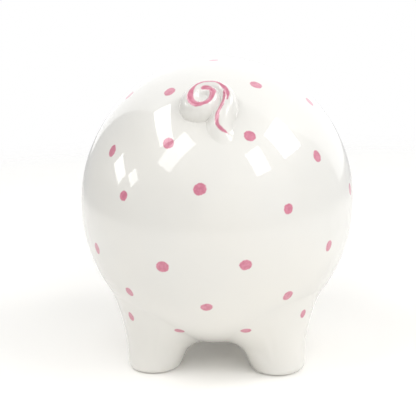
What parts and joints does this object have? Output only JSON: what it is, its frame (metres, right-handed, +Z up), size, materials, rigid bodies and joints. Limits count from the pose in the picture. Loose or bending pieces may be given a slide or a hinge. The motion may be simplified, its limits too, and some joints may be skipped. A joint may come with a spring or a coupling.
{
  "type": "figural animal coin bank",
  "caption": "Round glazed ceramic pig bank on stubby legs, with a coin slot in the back, a curled modelled tail and a rubber stopper in the belly.",
  "frame": {"origin": "centre of the bounding box on the plane the four feet stand on", "axes": "+Z up, +Y out through the snout, +X to the right as seen from behind the tail"},
  "size_m": [0.168, 0.216, 0.1845],
  "materials": {
    "glaze": "gloss",
    "stopper_rubber": "matte"
  },
  "bodies": {
    "bank": {"body_shell": "glaze", "snout": "glaze", "left_ear": "glaze", "right_ear": "glaze", "tail": "glaze", "rear_left_leg": "glaze", "rear_right_leg": "glaze", "front_left_leg": "glaze", "front_right_leg": "glaze"},
    "stopper": {"belly_stopper": "stopper_rubber"}
  },
  "joints": [
    {"name": "stopper_pull", "type": "slide", "parent": "bank", "child": "stopper", "axis": [0, 0, -1], "range_m": [0, 0.007]}
  ]
}
